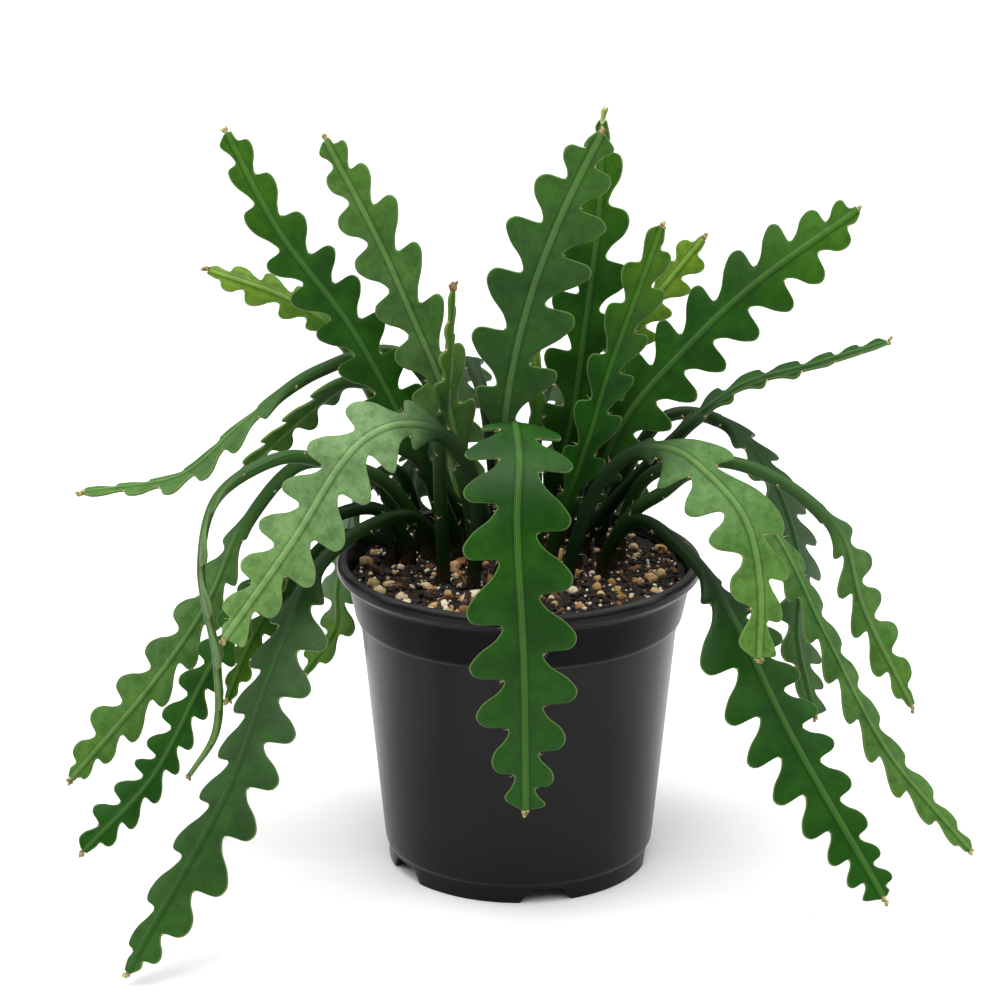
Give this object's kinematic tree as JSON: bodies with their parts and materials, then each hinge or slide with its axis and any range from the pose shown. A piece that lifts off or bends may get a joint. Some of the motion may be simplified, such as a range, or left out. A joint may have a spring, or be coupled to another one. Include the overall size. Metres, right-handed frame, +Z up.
{
  "type": "potted fishbone cactus",
  "caption": "Fishbone cactus with flat zigzag stems, upright and trailing, in a round black nursery pot filled with soil.",
  "frame": {"origin": "on the surface that the pot stands on, at the pot's axis, which is the middle of the whole plant's outline", "axes": "+Z up along the pot's axis, +X to the right of the plant seen from its front, -Y towards the front, where one stem hangs over the rim"},
  "size_m": [0.4085, 0.297, 0.3437],
  "materials": {
    "pot": "black moulded plastic with a soft sheen",
    "soil": "rough peat and bark with pale pumice grains",
    "stem": "waxy green plant skin, satin"
  },
  "bodies": {
    "root": {"pot": "pot", "soil": "soil", "stem_front_centre": "stem", "stem_front_left_broad": "stem", "stem_front_left_long": "stem", "stem_left_upright_outer": "stem", "stem_left_upright_inner": "stem", "stem_left_young": "stem", "stem_small_shoot": "stem", "stem_centre_tall": "stem", "stem_centre_back": "stem", "stem_centre_right_bright": "stem", "stem_right_back_light": "stem", "stem_right_upright": "stem", "stem_right_side_on": "stem", "stem_thin_young": "stem", "stem_far_left_arc": "stem", "stem_left_underside": "stem", "stem_left_bow": "stem", "stem_left_drooping_back": "stem", "stem_left_drooping_front": "stem", "stem_left_rim_bright": "stem", "stem_left_short": "stem", "stem_front_right_broad": "stem", "stem_front_right_long": "stem", "stem_right_long_narrow": "stem", "stem_right_arc_outer": "stem", "stem_right_arc_inner": "stem", "stem_back_left_low": "stem", "stem_back_left_arch": "stem", "stem_back_right_arch": "stem", "stem_back_right_low": "stem"}
  },
  "joints": []
}
